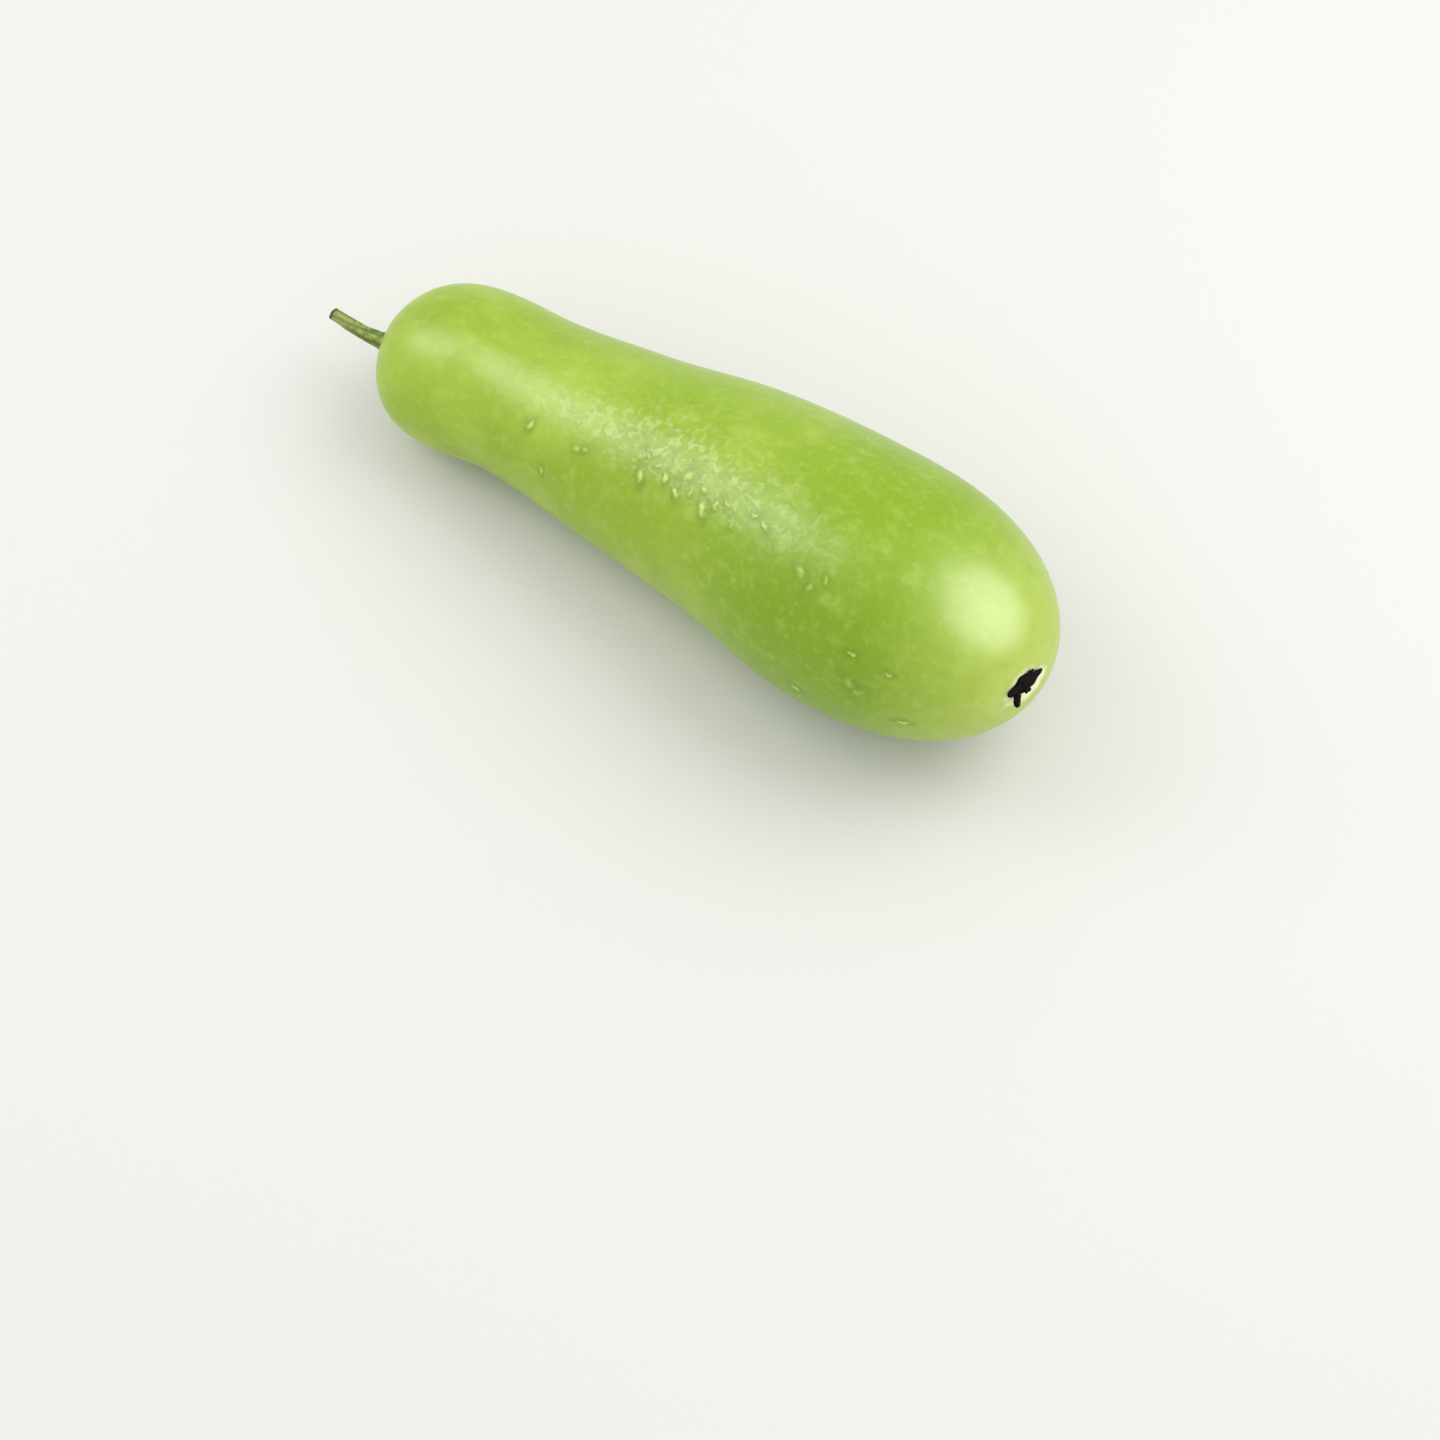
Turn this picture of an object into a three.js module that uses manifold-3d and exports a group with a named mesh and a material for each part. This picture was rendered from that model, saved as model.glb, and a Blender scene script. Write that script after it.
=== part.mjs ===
// A bottle gourd as picked, lying on its side. It has three pieces: the fruit, the stub of stalk that it
// was cut with, and the dried flower that still clings to its far end.
// Millimetres, +Z up, +X from the stalk towards the blossom end. The origin is on the ground, under the
// middle of the whole gourd.

import * as THREE from 'three';
import { mergeVertices } from 'three/addons/utils/BufferGeometryUtils.js';
import Module from 'manifold-3d';

const wasm = await Module();
wasm.setup();

// Fruit: lengths along its middle line, from the stalk end
const FRUIT_LENGTH = 320;
const SHOULDER_LENGTH = 43;
const BLOSSOM_END_LENGTH = 89;

// How full the two ends are: 2 is an ellipse, and more is squarer
const SHOULDER_FULLNESS = 2.7;
const BLOSSOM_END_FULLNESS = 2.5;

// Girth and bow: the radius at each place along, and how far the middle lies to the side there
const STATIONS = [
  { along: SHOULDER_LENGTH, radius: 36.6, aside: 3 }, // bulge of the neck
  { along: 62, radius: 35.7, aside: 4.5 }, // faint waist
  { along: 115, radius: 40.9, aside: 4.5 },
  { along: 165, radius: 47.8, aside: 6 },
  { along: FRUIT_LENGTH - BLOSSOM_END_LENGTH, radius: 54.5, aside: 1 }, // belly
];
const BOW = [{ along: 0, aside: 0 }, ...STATIONS, { along: FRUIT_LENGTH, aside: 0 }];

// The skin isn't quite round: broad swellings run along it and turn slowly round it.
// height is a share of the radius, count is how many go round, turn is in radians a millimetre.
const SWELLINGS = [
  { height: 0.006, count: 2, turn: 0.006, start: 0.4 },
  { height: 0.005, count: 3, turn: -0.011, start: 1.9 },
  { height: 0.003, count: 5, turn: 0.014, start: 3.1 },
];

// The fruit rises by this angle towards the blossom end, so that neck and belly both touch the ground
const LEAN = THREE.MathUtils.degToRad(5.7);
const PRESSED_FLAT = 0.7; // how far the ground flattens what it touches

// The blossom end is a little flat round the dried flower. Angles of that face: round Z, then up.
const FLOWER_FACE_YAW = THREE.MathUtils.degToRad(-15);
const FLOWER_FACE_RISE = THREE.MathUtils.degToRad(12);
const FLOWER_FACE_DEPTH = 1.6;
const FLOWER_FACE_EDGE = 0.8;

// The stalk grows out of a small flat seat on the shoulder
const SEAT_YAW = THREE.MathUtils.degToRad(-171.4);
const SEAT_RISE = THREE.MathUtils.degToRad(-1.7);
const SEAT_DEPTH = 0.5;
const SEAT_EDGE = 0.15;

const GAP = 0.3; // between pieces that touch

// Stalk: a ridged stub with a spread foot and a cut end. It runs from its seat to its tip in a slight bow,
// and its outline gives the height above the seat and the radius there.
const STALK_LENGTH = 29.5;
const STALK_BEND = new THREE.Vector3(-0.4, -0.9, -1.1);
const STALK_TIP = new THREE.Vector3(-29.5, -1.2, 0.2);
const STALK_RIDGES = 5;
const STALK_RIDGE_HEIGHT = 0.07;
const STALK_OUTLINE = [
  [0, 0],
  [0, 5.2],
  [0.9, 4.9],
  [2.4, 4.0],
  [5, 3.5],
  [12, 3.15],
  [21, 2.85],
  [27.5, 2.7],
  [29, 2.8],
  [29.5, 2.45],
  [29.2, 1.3],
  [29, 0],
];

// Dried flower: it sits a little off the middle of its face, turned on it, and is mostly a shrunken cup.
// The cup's size is half its long way, half its short way, and its height.
const FLOWER_ASIDE = 0.4;
const FLOWER_RAISED = 1.6;
const FLOWER_TURN = THREE.MathUtils.degToRad(4);
const CUP_SIZE = new THREE.Vector3(6.4, 4.4, 2.9);
const CUP_CRUMPLES = [
  { depth: 0.1, count: 3, start: 1 },
  { depth: 0.07, count: 7, start: 0 },
];

// Shrivelled petals and the dried style. Each path is in the flower's own axes: along its long way, across
// it, and out of the fruit. flat is thickness over width, and radius is half the width at the root.
const PETALS = [
  { path: [[2, 0.6, 0.9], [5.8, 1, 1.2], [8.8, 1, 1.3]], radius: 2.5, flat: 0.6, tip: 0.3 },
  { path: [[-3, 0.2, 0.9], [-6.6, 0.9, 1.1], [-9.4, 1.2, 1.2]], radius: 2.9, flat: 0.5, tip: 0.5 },
  { path: [[-4.4, -1.2, 1.4], [-6.4, -3.2, 2.6], [-7.8, -5.4, 3.9]], radius: 1.9, flat: 0.75, tip: 0.75 },
  { path: [[0.6, 2.6, 0.9], [2.6, 4.4, 1.1], [5, 4.6, 1.4]], radius: 1.5, flat: 0.6, tip: 0.4 },
  { path: [[-0.4, -2.2, 1.3], [0.4, -4, 1.8], [1.6, -4.8, 2]], radius: 1.8, flat: 0.6, tip: 0.5 },
  { path: [[-1.8, 0.4, 2], [-1.6, -0.6, 3], [-2.6, -1.8, 3.8]], radius: 1.3, flat: 0.8, tip: 0.6 },
];
const PETAL_CREASES = 3;
const PETAL_CREASE_DEPTH = 0.12;

// Facets
const FRUIT_SIDES = 48;
const FRUIT_RINGS = 58;
const STALK_SIDES = 20;
const CUP_SIDES = 20;
const CUP_RINGS = 8;
const PETAL_SIDES = 10;
const PETAL_RINGS = 8;

const SAME_POINT = 1e-4; // vertices closer than this are one

const AXIS_Y = new THREE.Vector3(0, 1, 0);
const AXIS_Z = new THREE.Vector3(0, 0, 1);

// A smooth curve through the stations, level at both ends and with no overshoot between
function through(stations, key, along) {
  const last = stations.length - 1;
  const rise = (k) => (stations[k + 1][key] - stations[k][key]) / (stations[k + 1].along - stations[k].along);
  const slope = (k) => {
    if (k === 0 || k === last || rise(k - 1) * rise(k) <= 0) return 0;
    const before = stations[k].along - stations[k - 1].along;
    const after = stations[k + 1].along - stations[k].along;
    return (3 * (before + after)) / ((2 * after + before) / rise(k - 1) + (after + 2 * before) / rise(k));
  };
  const found = stations.findIndex((station) => station.along > along) - 1;
  const k = found === -2 ? last - 1 : Math.max(found, 0);
  const span = stations[k + 1].along - stations[k].along;
  const t = THREE.MathUtils.clamp((along - stations[k].along) / span, 0, 1);
  return (
    stations[k][key] * (1 + 2 * t) * (1 - t) ** 2 +
    stations[k + 1][key] * (3 - 2 * t) * t ** 2 +
    span * slope(k) * t * (1 - t) ** 2 -
    span * slope(k + 1) * (1 - t) * t ** 2
  );
}

function girth(along) {
  const shoulder = Math.max(0, 1 - along / SHOULDER_LENGTH);
  const blossomEnd = Math.max(0, 1 - (FRUIT_LENGTH - along) / BLOSSOM_END_LENGTH);
  return (
    through(STATIONS, 'radius', along) *
    Math.sqrt(1 - shoulder ** SHOULDER_FULLNESS) *
    Math.sqrt(1 - blossomEnd ** BLOSSOM_END_FULLNESS)
  );
}

function swelling(along, angle) {
  return SWELLINGS.reduce(
    (sum, wave) => sum + wave.height * Math.cos(wave.count * angle + wave.turn * along + wave.start),
    1,
  );
}

// A point of the skin, leaning as the fruit lies, before anything is flattened
function skinPoint(along, angle) {
  const radius = girth(along) * swelling(along, angle);
  const across = through(BOW, 'aside', along) + radius * Math.cos(angle);
  return new THREE.Vector3(along, across, radius * Math.sin(angle)).applyAxisAngle(AXIS_Y, -LEAN);
}

function heading(yaw, rise) {
  return new THREE.Vector3(Math.cos(yaw) * Math.cos(rise), Math.sin(yaw) * Math.cos(rise), Math.sin(rise));
}

// The point of the skin that lies furthest in one direction
function furthest(direction) {
  const steps = 200;
  let best = skinPoint(0, 0);
  for (let i = 0; i <= steps; i += 1) {
    const along = (FRUIT_LENGTH * (1 - Math.cos((Math.PI * i) / steps))) / 2;
    for (let j = 0; j < steps; j += 1) {
      const point = skinPoint(along, (2 * Math.PI * j) / steps);
      if (point.dot(direction) > best.dot(direction)) best = point;
    }
  }
  return best;
}

// A flat face on the fruit: its outward direction, its middle, and how softly its edge rounds off
function flatFace(direction, depth, edge) {
  return { direction, edge, middle: furthest(direction).addScaledVector(direction, -depth) };
}

function pressAgainst(face, point) {
  const over = point.clone().sub(face.middle).dot(face.direction);
  const pressed = face.edge > 0 ? face.edge * Math.log1p(Math.exp(over / face.edge)) : Math.max(0, over);
  return point.addScaledVector(face.direction, -pressed);
}

const flowerFace = flatFace(heading(FLOWER_FACE_YAW, FLOWER_FACE_RISE), FLOWER_FACE_DEPTH, FLOWER_FACE_EDGE);
const seat = flatFace(heading(SEAT_YAW, SEAT_RISE), SEAT_DEPTH, SEAT_EDGE);
const ground = flatFace(AXIS_Z.clone().negate(), PRESSED_FLAT, 0);
const GROUND_LEVEL = ground.middle.z;

// Moves each vertex of a lathed shape, whose axis is its own Y. move gets the height, angle and radius.
function reshape(geometry, move) {
  const positions = geometry.attributes.position;
  const point = new THREE.Vector3();
  for (let i = 0; i < positions.count; i += 1) {
    point.fromBufferAttribute(positions, i);
    const angle = Math.atan2(point.x, point.z);
    const moved = move(point.y, angle, Math.hypot(point.x, point.z));
    positions.setXYZ(i, moved.x, moved.y, moved.z);
  }
  geometry.computeVertexNormals();
  return geometry;
}

function buildFruit() {
  const outline = [];
  for (let i = 0; i <= FRUIT_RINGS; i += 1) {
    const along = (FRUIT_LENGTH * (1 - Math.cos((Math.PI * i) / FRUIT_RINGS))) / 2;
    outline.push(new THREE.Vector2(girth(along), along));
  }
  return reshape(new THREE.LatheGeometry(outline, FRUIT_SIDES), (along, angle) => {
    const point = skinPoint(along, angle);
    for (const face of [flowerFace, seat, ground]) pressAgainst(face, point);
    point.z -= GROUND_LEVEL;
    return point;
  });
}

// Bends a lathed shape so that its axis follows a path. spread gives each vertex's distance from the path
// to the side and upwards.
function bendAlong(geometry, path, length, spread) {
  return reshape(geometry, (height, angle, radius) => {
    const t = THREE.MathUtils.clamp(height / length, 0, 1);
    const ahead = path.getTangentAt(t);
    const side = new THREE.Vector3().crossVectors(AXIS_Z, ahead).normalize();
    const up = new THREE.Vector3().crossVectors(ahead, side);
    const [sideways, upwards] = spread(angle, radius);
    return path.getPointAt(t)
      .addScaledVector(ahead, height - t * length)
      .addScaledVector(side, sideways)
      .addScaledVector(up, upwards);
  });
}

function buildStalk() {
  const foot = seat.middle.clone().addScaledVector(seat.direction, GAP);
  foot.z -= GROUND_LEVEL;
  const middle = foot.clone().add(STALK_TIP.clone().multiplyScalar(0.5)).add(STALK_BEND);
  const path = new THREE.QuadraticBezierCurve3(foot, middle, foot.clone().add(STALK_TIP));
  const outline = STALK_OUTLINE.map(([height, radius]) => new THREE.Vector2(radius, height));
  return bendAlong(new THREE.LatheGeometry(outline, STALK_SIDES), path, STALK_LENGTH, (angle, radius) => {
    const ridged = radius * (1 + STALK_RIDGE_HEIGHT * Math.cos(STALK_RIDGES * angle));
    return [ridged * Math.cos(angle), ridged * Math.sin(angle)];
  });
}

function toSolid(geometry) {
  const bare = geometry.clone();
  bare.deleteAttribute('normal');
  bare.deleteAttribute('uv');
  const merged = mergeVertices(bare, SAME_POINT);
  const vertProperties = new Float32Array(merged.attributes.position.array);
  const triVerts = new Uint32Array(merged.index.array);
  return new wasm.Manifold(new wasm.Mesh({ numProp: 3, vertProperties, triVerts }));
}

function toGeometry(solid) {
  const mesh = solid.getMesh();
  const geometry = new THREE.BufferGeometry();
  geometry.setAttribute('position', new THREE.BufferAttribute(new Float32Array(mesh.vertProperties), 3));
  geometry.setIndex(new THREE.BufferAttribute(new Uint32Array(mesh.triVerts), 1));
  geometry.computeVertexNormals();
  return geometry;
}

// The shrunken cup of the flower: a low crumpled dome on a flat foot
function buildCup() {
  const outline = [new THREE.Vector2(0, 0)];
  for (let i = 0; i <= CUP_RINGS; i += 1) {
    const tilt = (Math.PI / 2) * (i / CUP_RINGS);
    outline.push(new THREE.Vector2(i === CUP_RINGS ? 0 : Math.cos(tilt), Math.sin(tilt)));
  }
  const dome = new THREE.LatheGeometry(outline, CUP_SIDES);
  return reshape(dome, (height, angle, radius) => {
    const crumple = CUP_CRUMPLES.reduce(
      (sum, fold) => sum + fold.depth * Math.cos(fold.count * angle + fold.start),
      1,
    );
    return new THREE.Vector3(
      CUP_SIZE.x * radius * crumple * Math.cos(angle),
      CUP_SIZE.y * radius * crumple * Math.sin(angle),
      CUP_SIZE.z * height,
    );
  });
}

// A shrivelled petal: a flattened spindle that narrows towards its tip
function buildPetal({ path, radius, flat, tip }) {
  const curve = new THREE.CatmullRomCurve3(path.map((point) => new THREE.Vector3(...point)));
  const outline = [];
  for (let i = 0; i <= PETAL_RINGS; i += 1) {
    const t = i / PETAL_RINGS;
    const roundEnds = Math.sqrt(1 - (2 * t - 1) ** 4);
    outline.push(new THREE.Vector2(i % PETAL_RINGS === 0 ? 0 : roundEnds * (1 - (1 - tip) * t), t));
  }
  return bendAlong(new THREE.LatheGeometry(outline, PETAL_SIDES), curve, 1, (angle, share) => {
    const width = radius * share * (1 + PETAL_CREASE_DEPTH * Math.cos(PETAL_CREASES * angle));
    return [width * Math.cos(angle), width * flat * Math.sin(angle)];
  });
}

function buildFlower() {
  const out = flowerFace.direction;
  const level = new THREE.Vector3().crossVectors(AXIS_Z, out).normalize();
  const across = new THREE.Vector3().crossVectors(out, level);
  const long = level.clone().applyAxisAngle(out, FLOWER_TURN);
  const short = across.clone().applyAxisAngle(out, FLOWER_TURN);
  const foot = flowerFace.middle.clone()
    .addScaledVector(level, FLOWER_ASIDE)
    .addScaledVector(across, FLOWER_RAISED)
    .addScaledVector(out, GAP);
  foot.z -= GROUND_LEVEL;
  const place = new THREE.Matrix4().makeBasis(long, short, out).setPosition(foot);
  let solid = toSolid(buildCup());
  for (const petal of PETALS) solid = solid.add(toSolid(buildPetal(petal)));
  return toGeometry(solid).applyMatrix4(place);
}

const skin = new THREE.MeshStandardMaterial({ color: 0xa9c653, roughness: 0.42, metalness: 0 });
const stalkSkin = new THREE.MeshStandardMaterial({ color: 0x86994f, roughness: 0.75, metalness: 0 });
const driedFlower = new THREE.MeshStandardMaterial({ color: 0x14110d, roughness: 0.85, metalness: 0 });

function piece(name, geometry, material) {
  const mesh = new THREE.Mesh(geometry, material);
  mesh.name = name;
  return mesh;
}

const gourd = new THREE.Group();
gourd.add(piece('fruit', buildFruit(), skin));
gourd.add(piece('stem', buildStalk(), stalkSkin));
gourd.add(piece('blossom_remnant', buildFlower(), driedFlower));

const whole = new THREE.Box3().setFromObject(gourd, true);
const middle = whole.getCenter(new THREE.Vector3());
gourd.position.set(-middle.x, -middle.y, 0);

export default gourd;
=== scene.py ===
# A bottle gourd as picked, lying on its side on a pale floor. It has a smooth waxy fruit, the cut stub of
# its stalk, and the dried flower at its far end. Metres, +Z up, +X from the stalk to the blossom end.

import functools
import math
import random

import bmesh
import bpy
from mathutils import Matrix, Quaternion, Vector, kdtree, noise


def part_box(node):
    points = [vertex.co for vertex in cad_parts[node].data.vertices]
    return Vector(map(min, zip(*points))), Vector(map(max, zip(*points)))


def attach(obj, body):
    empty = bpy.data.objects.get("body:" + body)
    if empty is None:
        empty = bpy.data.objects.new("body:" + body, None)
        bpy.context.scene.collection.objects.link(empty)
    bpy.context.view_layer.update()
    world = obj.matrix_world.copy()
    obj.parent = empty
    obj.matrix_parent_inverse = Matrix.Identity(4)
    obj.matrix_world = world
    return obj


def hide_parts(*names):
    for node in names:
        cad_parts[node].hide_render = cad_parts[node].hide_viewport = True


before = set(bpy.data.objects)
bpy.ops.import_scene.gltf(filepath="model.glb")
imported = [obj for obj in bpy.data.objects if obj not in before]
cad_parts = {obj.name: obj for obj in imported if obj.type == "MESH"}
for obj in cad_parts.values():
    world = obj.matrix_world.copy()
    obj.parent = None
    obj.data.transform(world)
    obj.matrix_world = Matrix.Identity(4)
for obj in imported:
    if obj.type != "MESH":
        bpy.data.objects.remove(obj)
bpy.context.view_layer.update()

# The fruit: a young berry that grew in one piece, with a narrow neck and a fuller belly. Its rind is thin,
# waxy and pale green, with small raised scars where it was rubbed, and a corky ring round the flower.
# It lies on its belly and its neck, which are pressed a little flat.

MM = 0.001
FRUIT_LENGTH = 320 * MM
SHOULDER_LENGTH = 43 * MM
BLOSSOM_END_LENGTH = 89 * MM
SHOULDER_FULLNESS = 2.7
BLOSSOM_END_FULLNESS = 2.5

# The radius at each place along the fruit, and how far its middle lies to the side there
GIRTHS = [
    (SHOULDER_LENGTH, 36.6 * MM),
    (62 * MM, 35.7 * MM),
    (115 * MM, 40.9 * MM),
    (165 * MM, 47.8 * MM),
    (FRUIT_LENGTH - BLOSSOM_END_LENGTH, 54.5 * MM),
]
BOW = [
    (0, 0),
    (SHOULDER_LENGTH, 3 * MM),
    (62 * MM, 4.5 * MM),
    (115 * MM, 4.5 * MM),
    (165 * MM, 6 * MM),
    (FRUIT_LENGTH - BLOSSOM_END_LENGTH, 1 * MM),
    (FRUIT_LENGTH, 0),
]

# Broad swellings: height as a share of the radius, how many go round, turn for each metre, and start
SWELLINGS = [(0.006, 2, 6, 0.4), (0.005, 3, -11, 1.9), (0.003, 5, 14, 3.1)]

# Slight unevenness of the skin: height and size of each kind
RIPPLES = [(0.05 * MM, 16 * MM), (0.02 * MM, 5 * MM)]

LEAN = math.radians(5.7)
RIND_SUNK = 0.2 * MM  # room for the scars inside the part's size
LONGEST_EDGE = 0.3 * MM  # of a facet on a scar

RINGS = 250
SIDES = 170
FACE_STEPS = 160


def through(stations, along):
    """A smooth curve through the stations, level at both ends and with no overshoot between."""
    last = len(stations) - 1
    spans = [stations[k + 1][0] - stations[k][0] for k in range(last)]
    rises = [(stations[k + 1][1] - stations[k][1]) / spans[k] for k in range(last)]

    def slope(k):
        if k in (0, last) or rises[k - 1] * rises[k] <= 0:
            return 0
        before, after = spans[k - 1], spans[k]
        return 3 * (before + after) / ((2 * after + before) / rises[k - 1] + (after + 2 * before) / rises[k])

    k = max([n for n in range(last) if stations[n][0] <= along], default=0)
    t = min(max((along - stations[k][0]) / spans[k], 0), 1)
    return (
        stations[k][1] * (1 + 2 * t) * (1 - t) ** 2
        + stations[k + 1][1] * (3 - 2 * t) * t**2
        + spans[k] * slope(k) * t * (1 - t) ** 2
        - spans[k] * slope(k + 1) * (1 - t) * t**2
    )


@functools.cache
def girth(along):
    """The fruit's radius at one place along it."""
    shoulder = max(0, 1 - along / SHOULDER_LENGTH) ** SHOULDER_FULLNESS
    blossom_end = max(0, 1 - (FRUIT_LENGTH - along) / BLOSSOM_END_LENGTH) ** BLOSSOM_END_FULLNESS
    return through(GIRTHS, along) * math.sqrt(max(0, 1 - shoulder)) * math.sqrt(max(0, 1 - blossom_end))


@functools.cache
def aside(along):
    """How far the fruit's middle lies to the side at one place along it."""
    return through(BOW, along)


def skin_point(along, angle, raised=0):
    """A point of the skin, leaning as the fruit lies, before anything is flattened."""
    swelling = 1
    for height, count, turn, start in SWELLINGS:
        swelling += height * math.cos(count * angle + turn * along + start)
    radius = girth(along) * swelling + raised
    across = aside(along) + radius * math.cos(angle)
    up = radius * math.sin(angle)
    return Vector((
        along * math.cos(LEAN) - up * math.sin(LEAN),
        across,
        along * math.sin(LEAN) + up * math.cos(LEAN),
    ))


def flat_face(yaw, rise, depth, edge):
    """A flat face on the fruit: its outward direction, its middle, and how softly its edge rounds off."""
    out = Vector((math.cos(yaw) * math.cos(rise), math.sin(yaw) * math.cos(rise), math.sin(rise)))
    places = [FRUIT_LENGTH * (1 - math.cos(math.pi * i / FACE_STEPS)) / 2 for i in range(FACE_STEPS + 1)]
    turns = [2 * math.pi * j / FACE_STEPS for j in range(FACE_STEPS)]
    furthest = max((skin_point(along, angle) for along in places for angle in turns), key=out.dot)
    return out, furthest - out * depth, edge


def press(point, face):
    """Moves a point that lies beyond a flat face back onto it, and rounds the face's edge."""
    out, middle, edge = face
    over = (point - middle).dot(out)
    if over > 20 * edge:
        return point - out * over
    return point - out * edge * math.log1p(math.exp(over / edge))


def smooth(low, high, value):
    """Rises smoothly from 0 at the low value to 1 at the high one."""
    t = min(max((value - low) / (high - low), 0), 1)
    return t * t * (3 - 2 * t)


flower_face = flat_face(yaw=math.radians(-15), rise=math.radians(12), depth=1.6 * MM, edge=0.8 * MM)
stalk_seat = flat_face(yaw=math.radians(-171.4), rise=math.radians(-1.7), depth=0.5 * MM, edge=0.15 * MM)
ground = flat_face(yaw=0, rise=math.radians(-90), depth=0.7 * MM, edge=0.02 * MM)


def lathe(outline, sides):
    """Spins an outline of (height, radius) about X into a closed shape."""
    shape = bmesh.new()
    corners = [shape.verts.new((height, 0, radius)) for height, radius in outline]
    edges = [shape.edges.new(pair) for pair in zip(corners, corners[1:])]
    bmesh.ops.spin(
        shape, geom=corners + edges, cent=(0, 0, 0), axis=(1, 0, 0), angle=2 * math.pi,
        steps=sides, use_merge=True, use_duplicate=False,
    )
    bmesh.ops.remove_doubles(shape, verts=shape.verts, dist=0.001 * MM)
    bmesh.ops.recalc_face_normals(shape, faces=shape.faces)
    return shape


def place_on_lathe(along, angle):
    """The same place on the straight fruit that is spun first."""
    return Vector((along, girth(along) * math.cos(angle), girth(along) * math.sin(angle)))


# Scars that stand out: along the fruit and length in mm, angle round it and turn in degrees, and height
# in mm. Angle 90 is the top and 180 the side towards the viewer. Turn 0 runs along the fruit.
SCARS = [
    (92, 135, 3.6, -70, 0.3),
    (103, 157, 3, 80, 0.25),
    (117, 133, 3.4, -25, 0.2),
    (121, 131, 3.2, -60, 0.2),
    (149, 130, 4.4, 70, 0.4),
    (160, 125, 3.2, 75, 0.35),
    (155, 121, 3, -50, 0.2),
    (169, 119, 5, -40, 0.25),
    (173, 125, 3.4, 80, 0.25),
    (178, 121, 3.6, 35, 0.25),
    (167, 129, 4.2, 65, 0.35),
    (181, 129, 4.8, 60, 0.45),
    (186, 124, 3.4, -75, 0.25),
    (190, 121, 3.6, 50, 0.2),
    (196, 127, 3, 70, 0.2),
    (204, 118, 3.4, -40, 0.25),
    (210, 120, 3.8, 40, 0.25),
    (232, 128, 4.5, 20, 0.2),
    (238, 132, 3.8, -60, 0.2),
    (243, 126, 3, 45, 0.2),
    (263, 149, 2.6, 0, 0.35),
    (278, 152, 2.6, 0, 0.35),
    (264, 164, 6, 45, 0.15),
    (268, 168, 6, -50, 0.15),
    (240, 185, 4, 20, 0.3),
    (285, 182, 3.6, 10, 0.35),
]
SCAR_SLIMNESS = 0.5  # width over length
SCAR_FOOT = 1.45  # length of the raised foot over that of the pale top
SCAR_RISE = 1.15
SCAR_REACH = 7 * MM  # no scar shows further from its middle than this
SCAR_STRAY = 1.1 * MM  # how far a scar's outline wanders in and out, and over what length
SCAR_STRAY_SIZE = 1.7 * MM

# Every mark: along the fruit, angle round it, length, width over length, turn, and height
marks = []
for along, angle, length, turn, height in SCARS:
    marks.append((
        along * MM,
        math.radians(angle),
        length * MM * SCAR_FOOT,
        SCAR_SLIMNESS,
        math.radians(turn),
        height * MM * SCAR_RISE,
    ))

# Smaller scars and freckles are scattered over the whole rind
FRECKLES = 90
scatter = random.Random(7)
for n in range(FRECKLES):
    marks.append((
        scatter.uniform(12, 305) * MM,
        scatter.uniform(0, 2 * math.pi),
        scatter.uniform(1.2, 3) * MM,
        scatter.uniform(0.45, 1),
        scatter.uniform(0, math.pi),
        scatter.uniform(0.05, 0.14) * MM,
    ))

# On the upper flank, where it was rubbed, the rind is crinkled and has small low welts, and the material
# paints pale glints of the shine on its crinkles. Middle and half length of that place, then its middle and
# half width as angles round the fruit
RUBBED_ALONG = 160 * MM
RUBBED_LENGTH = 64 * MM
RUBBED_ANGLE = math.radians(112)
RUBBED_WIDTH = math.radians(17)
WELTS = 70
for n in range(WELTS):
    marks.append((
        scatter.gauss(RUBBED_ALONG, RUBBED_LENGTH * 0.45),
        scatter.gauss(RUBBED_ANGLE, RUBBED_WIDTH / 2),
        scatter.uniform(2, 4.5) * MM,
        scatter.uniform(0.35, 0.6),
        scatter.uniform(0, math.pi),
        scatter.uniform(0.06, 0.16) * MM,
    ))

mark_places = kdtree.KDTree(len(marks))
for n, mark in enumerate(marks):
    mark_places.insert(place_on_lathe(mark[0], mark[1]), n)
mark_places.balance()


def scars_at(co, along, angle):
    """How high the scars raise the rind at one place, and how strongly their dark borders show, partly the
    scars' own deeper green and partly painted shade round them.
    """
    height = 0
    border_shade = 0
    forward_stray = SCAR_STRAY * noise.noise(co / SCAR_STRAY_SIZE)
    sideways_stray = SCAR_STRAY * noise.noise(co / SCAR_STRAY_SIZE + Vector((9, 4, 2)))
    for place, n, distance in mark_places.find_range(co, SCAR_REACH):
        middle, round_at, length, slimness, turn, top = marks[n]
        round_by = (angle - round_at + math.pi) % (2 * math.pi) - math.pi
        forward = along - middle + forward_stray
        sideways = round_by * girth(along) + sideways_stray
        long_way = forward * math.cos(turn) + sideways * math.sin(turn)
        short_way = sideways * math.cos(turn) - forward * math.sin(turn)
        spread = (2 * long_way / length) ** 2 + (2 * short_way / (length * slimness)) ** 2
        height += top * (1.25 * math.exp(-1.6 * spread) - 0.25 * math.exp(-0.5 * spread))
        border_shade += top * (math.exp(-0.5 * spread) - math.exp(-1.3 * spread))
    return height, border_shade


# The flower's foot lies near the middle of its face, and a corky ring of paler rind surrounds it
RING_LONG = 10 * MM
RING_SHORT = 8 * MM
RING_HEIGHT = 0.35 * MM
RING_LUMPS = 3.5 * MM
RING_BELOW_FLOWER = 2.6 * MM
level = Vector((0, 0, 1)).cross(flower_face[0]).normalized()
upwards = flower_face[0].cross(level)
flower_foot = flower_face[1] + level * 0.4 * MM + upwards * 1.6 * MM
ring_middle = flower_foot - upwards * RING_BELOW_FLOWER


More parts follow.
